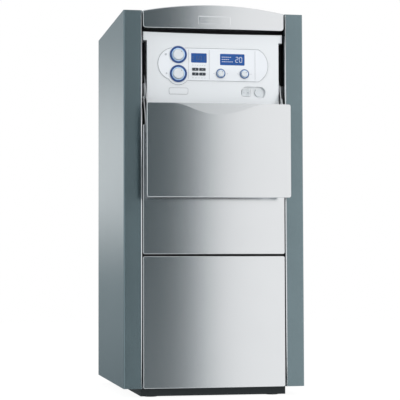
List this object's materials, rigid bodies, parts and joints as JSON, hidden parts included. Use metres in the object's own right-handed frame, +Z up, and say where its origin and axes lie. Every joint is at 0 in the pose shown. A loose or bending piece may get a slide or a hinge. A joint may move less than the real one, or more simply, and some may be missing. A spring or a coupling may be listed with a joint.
{
  "type": "floor standing gas boiler",
  "caption": "Tall cabinet heating boiler with a drop-down flap on parallel arms over its dials, displays and switches.",
  "frame": {"origin": "on the floor, under the middle of the overall box", "axes": "+Z up, the front faces -Y, +X to the right seen from the front"},
  "size_m": [0.57, 0.78, 1.242],
  "materials": {
    "casing_paint": "satin blue-grey powder coat",
    "galvanised_steel": "zinc coated sheet",
    "silver_front": "satin silver lacquer",
    "plinth_black": "matt black paint",
    "zinc_steel": "bright zinc plate",
    "foot_plastic": "moulded",
    "niche_black": "matt black paint",
    "fascia_plastic": "fine moulded grain",
    "plate_plastic": "satin",
    "ring_blue": "gloss",
    "display_blue": "clear window over a blue display",
    "knob_white": "satin",
    "key_grey": "matt",
    "switch_grey": "satin",
    "board_green": "circuit board",
    "vessel_steel": "welded stainless steel",
    "insulation_foam": "rigid shell moulded from foam beads",
    "cast_door": "as cast",
    "burner_steel": "heat tinted",
    "impeller_plastic": "moulded",
    "motor_black": "enamel",
    "valve_aluminium": "die cast",
    "pipe_steel": "yellow gas paint",
    "flue_white": "moulded",
    "stub_brass": "machined",
    "trap_grey": "moulded",
    "lever_red": "moulded",
    "spark_black": "moulded",
    "gland_black": "moulded"
  },
  "bodies": {
    "cabinet": {"left_side_panel": "casing_paint", "right_side_panel": "casing_paint", "top_cover": "casing_paint", "rear_panel": "galvanised_steel", "front_cap": "silver_front", "middle_panel": "silver_front", "base_tray": "galvanised_steel", "plinth": "plinth_black", "foot_nuts": "zinc_steel", "front_frame": "niche_black", "back_cover": "niche_black", "control_fascia": "fascia_plastic", "control_plate": "plate_plastic", "dial_rings": "ring_blue", "display_windows": "display_blue", "control_board": "board_green", "hinge_brackets": "zinc_steel", "hinge_pins": "zinc_steel", "vessel": "vessel_steel", "combustion_chamber": "vessel_steel", "flue_collector": "vessel_steel", "vessel_insulation": "insulation_foam", "burner_door": "cast_door", "burner_tube": "burner_steel", "fan_housing": "cast_door", "fan_motor": "motor_black", "gas_valve": "valve_aluminium", "gas_pipe": "pipe_steel", "flue_pipe": "flue_white", "air_collar": "flue_white", "water_stubs": "stub_brass", "condensate_drain": "trap_grey", "drain_cock": "stub_brass", "ignition_set": "spark_black", "cable_glands": "gland_black", "casing_screws": "zinc_steel"},
    "left_upper_arm": {"left_upper_arm": "zinc_steel"},
    "right_upper_arm": {"right_upper_arm": "zinc_steel"},
    "left_lower_arm": {"left_lower_arm": "zinc_steel"},
    "right_lower_arm": {"right_lower_arm": "zinc_steel"},
    "flap": {"flap": "silver_front", "flap_ears": "zinc_steel", "ear_pins": "zinc_steel"},
    "lower_panel": {"lower_panel": "silver_front"},
    "front_left_foot": {"front_left_foot": "foot_plastic"},
    "front_right_foot": {"front_right_foot": "foot_plastic"},
    "rear_left_foot": {"rear_left_foot": "foot_plastic"},
    "rear_right_foot": {"rear_right_foot": "foot_plastic"},
    "upper_dial": {"upper_dial": "knob_white"},
    "lower_dial": {"lower_dial": "knob_white"},
    "left_encoder_knob": {"left_encoder_knob": "knob_white"},
    "right_encoder_knob": {"right_encoder_knob": "knob_white"},
    "upper_left_key": {"upper_left_key": "key_grey"},
    "upper_right_key": {"upper_right_key": "key_grey"},
    "lower_left_key": {"lower_left_key": "key_grey"},
    "lower_right_key": {"lower_right_key": "key_grey"},
    "mains_rocker": {"mains_rocker": "switch_grey"},
    "reset_button": {"reset_button": "switch_grey"},
    "fan_impeller": {"fan_impeller": "impeller_plastic"},
    "drain_lever": {"drain_lever": "lever_red"}
  },
  "joints": [
    {"name": "flap_swing", "type": "hinge", "parent": "cabinet", "child": "left_upper_arm", "pos_m": [0, -0.2735, 0.968], "axis": [-1, 0, 0], "range_deg": [0, 156.91]},
    {"name": "right_upper_arm_swing", "type": "hinge", "parent": "cabinet", "child": "right_upper_arm", "pos_m": [0, -0.2735, 0.968], "axis": [-1, 0, 0], "range_deg": [0, 156.91]},
    {"name": "left_lower_arm_swing", "type": "hinge", "parent": "cabinet", "child": "left_lower_arm", "pos_m": [0, -0.28223, 0.92692], "axis": [-1, 0, 0], "range_deg": [0, 156.91]},
    {"name": "right_lower_arm_swing", "type": "hinge", "parent": "cabinet", "child": "right_lower_arm", "pos_m": [0, -0.28223, 0.92692], "axis": [-1, 0, 0], "range_deg": [0, 156.91]},
    {"name": "flap_level", "type": "hinge", "parent": "left_upper_arm", "child": "flap", "pos_m": [0, -0.339, 0.85899], "axis": [-1, 0, 0], "range_deg": [-156.91, 0]},
    {"name": "lower_panel_pull", "type": "slide", "parent": "cabinet", "child": "lower_panel", "axis": [0, -1, 0], "range_m": [0, 0.05]},
    {"name": "front_left_foot_screw", "type": "slide", "parent": "cabinet", "child": "front_left_foot", "axis": [0, 0, 1], "range_m": [-0.04, 0]},
    {"name": "front_right_foot_screw", "type": "slide", "parent": "cabinet", "child": "front_right_foot", "axis": [0, 0, 1], "range_m": [-0.04, 0]},
    {"name": "rear_left_foot_screw", "type": "slide", "parent": "cabinet", "child": "rear_left_foot", "axis": [0, 0, 1], "range_m": [-0.04, 0]},
    {"name": "rear_right_foot_screw", "type": "slide", "parent": "cabinet", "child": "rear_right_foot", "axis": [0, 0, 1], "range_m": [-0.04, 0]},
    {"name": "upper_dial_turn", "type": "hinge", "parent": "cabinet", "child": "upper_dial", "pos_m": [-0.1113, -0.289, 1.063], "axis": [0, 1, 0], "range_deg": [-180, 90]},
    {"name": "lower_dial_turn", "type": "hinge", "parent": "cabinet", "child": "lower_dial", "pos_m": [-0.1113, -0.289, 1.0035], "axis": [0, 1, 0], "range_deg": [-180, 90]},
    {"name": "left_encoder_knob_turn", "type": "hinge", "parent": "cabinet", "child": "left_encoder_knob", "pos_m": [0.0235, -0.289, 1.0066], "axis": [0, 1, 0], "continuous": true},
    {"name": "right_encoder_knob_turn", "type": "hinge", "parent": "cabinet", "child": "right_encoder_knob", "pos_m": [0.0994, -0.289, 1.0066], "axis": [0, 1, 0], "continuous": true},
    {"name": "lower_left_key_press", "type": "slide", "parent": "cabinet", "child": "lower_left_key", "axis": [0, 1, 0], "range_m": [0, 0.0012], "stiffness_N_per_m": 400, "springref_m": -0.002},
    {"name": "lower_right_key_press", "type": "slide", "parent": "cabinet", "child": "lower_right_key", "axis": [0, 1, 0], "range_m": [0, 0.0012], "stiffness_N_per_m": 400, "springref_m": -0.002},
    {"name": "upper_left_key_press", "type": "slide", "parent": "cabinet", "child": "upper_left_key", "axis": [0, 1, 0], "range_m": [0, 0.0012], "stiffness_N_per_m": 400, "springref_m": -0.002},
    {"name": "upper_right_key_press", "type": "slide", "parent": "cabinet", "child": "upper_right_key", "axis": [0, 1, 0], "range_m": [0, 0.0012], "stiffness_N_per_m": 400, "springref_m": -0.002},
    {"name": "reset_press", "type": "slide", "parent": "cabinet", "child": "reset_button", "axis": [0, 1, 0], "range_m": [0, 0.002], "stiffness_N_per_m": 500, "springref_m": -0.002},
    {"name": "mains_switch", "type": "hinge", "parent": "cabinet", "child": "mains_rocker", "pos_m": [0.106, -0.276, 0.9486], "axis": [0, 0, 1], "range_deg": [0, 14]},
    {"name": "fan_spin", "type": "hinge", "parent": "cabinet", "child": "fan_impeller", "pos_m": [0, 0.08304, 0.968], "axis": [1, 0, 0], "continuous": true},
    {"name": "drain_turn", "type": "hinge", "parent": "cabinet", "child": "drain_lever", "pos_m": [0, -0.223, 0.26], "axis": [0, 0, 1], "range_deg": [-90, 0]}
  ],
  "couplings": [
    {"joint": "right_upper_arm_swing", "follows": "flap_swing", "ratio": 1},
    {"joint": "left_lower_arm_swing", "follows": "flap_swing", "ratio": 1},
    {"joint": "right_lower_arm_swing", "follows": "flap_swing", "ratio": 1},
    {"joint": "flap_level", "follows": "flap_swing", "ratio": -1}
  ]
}
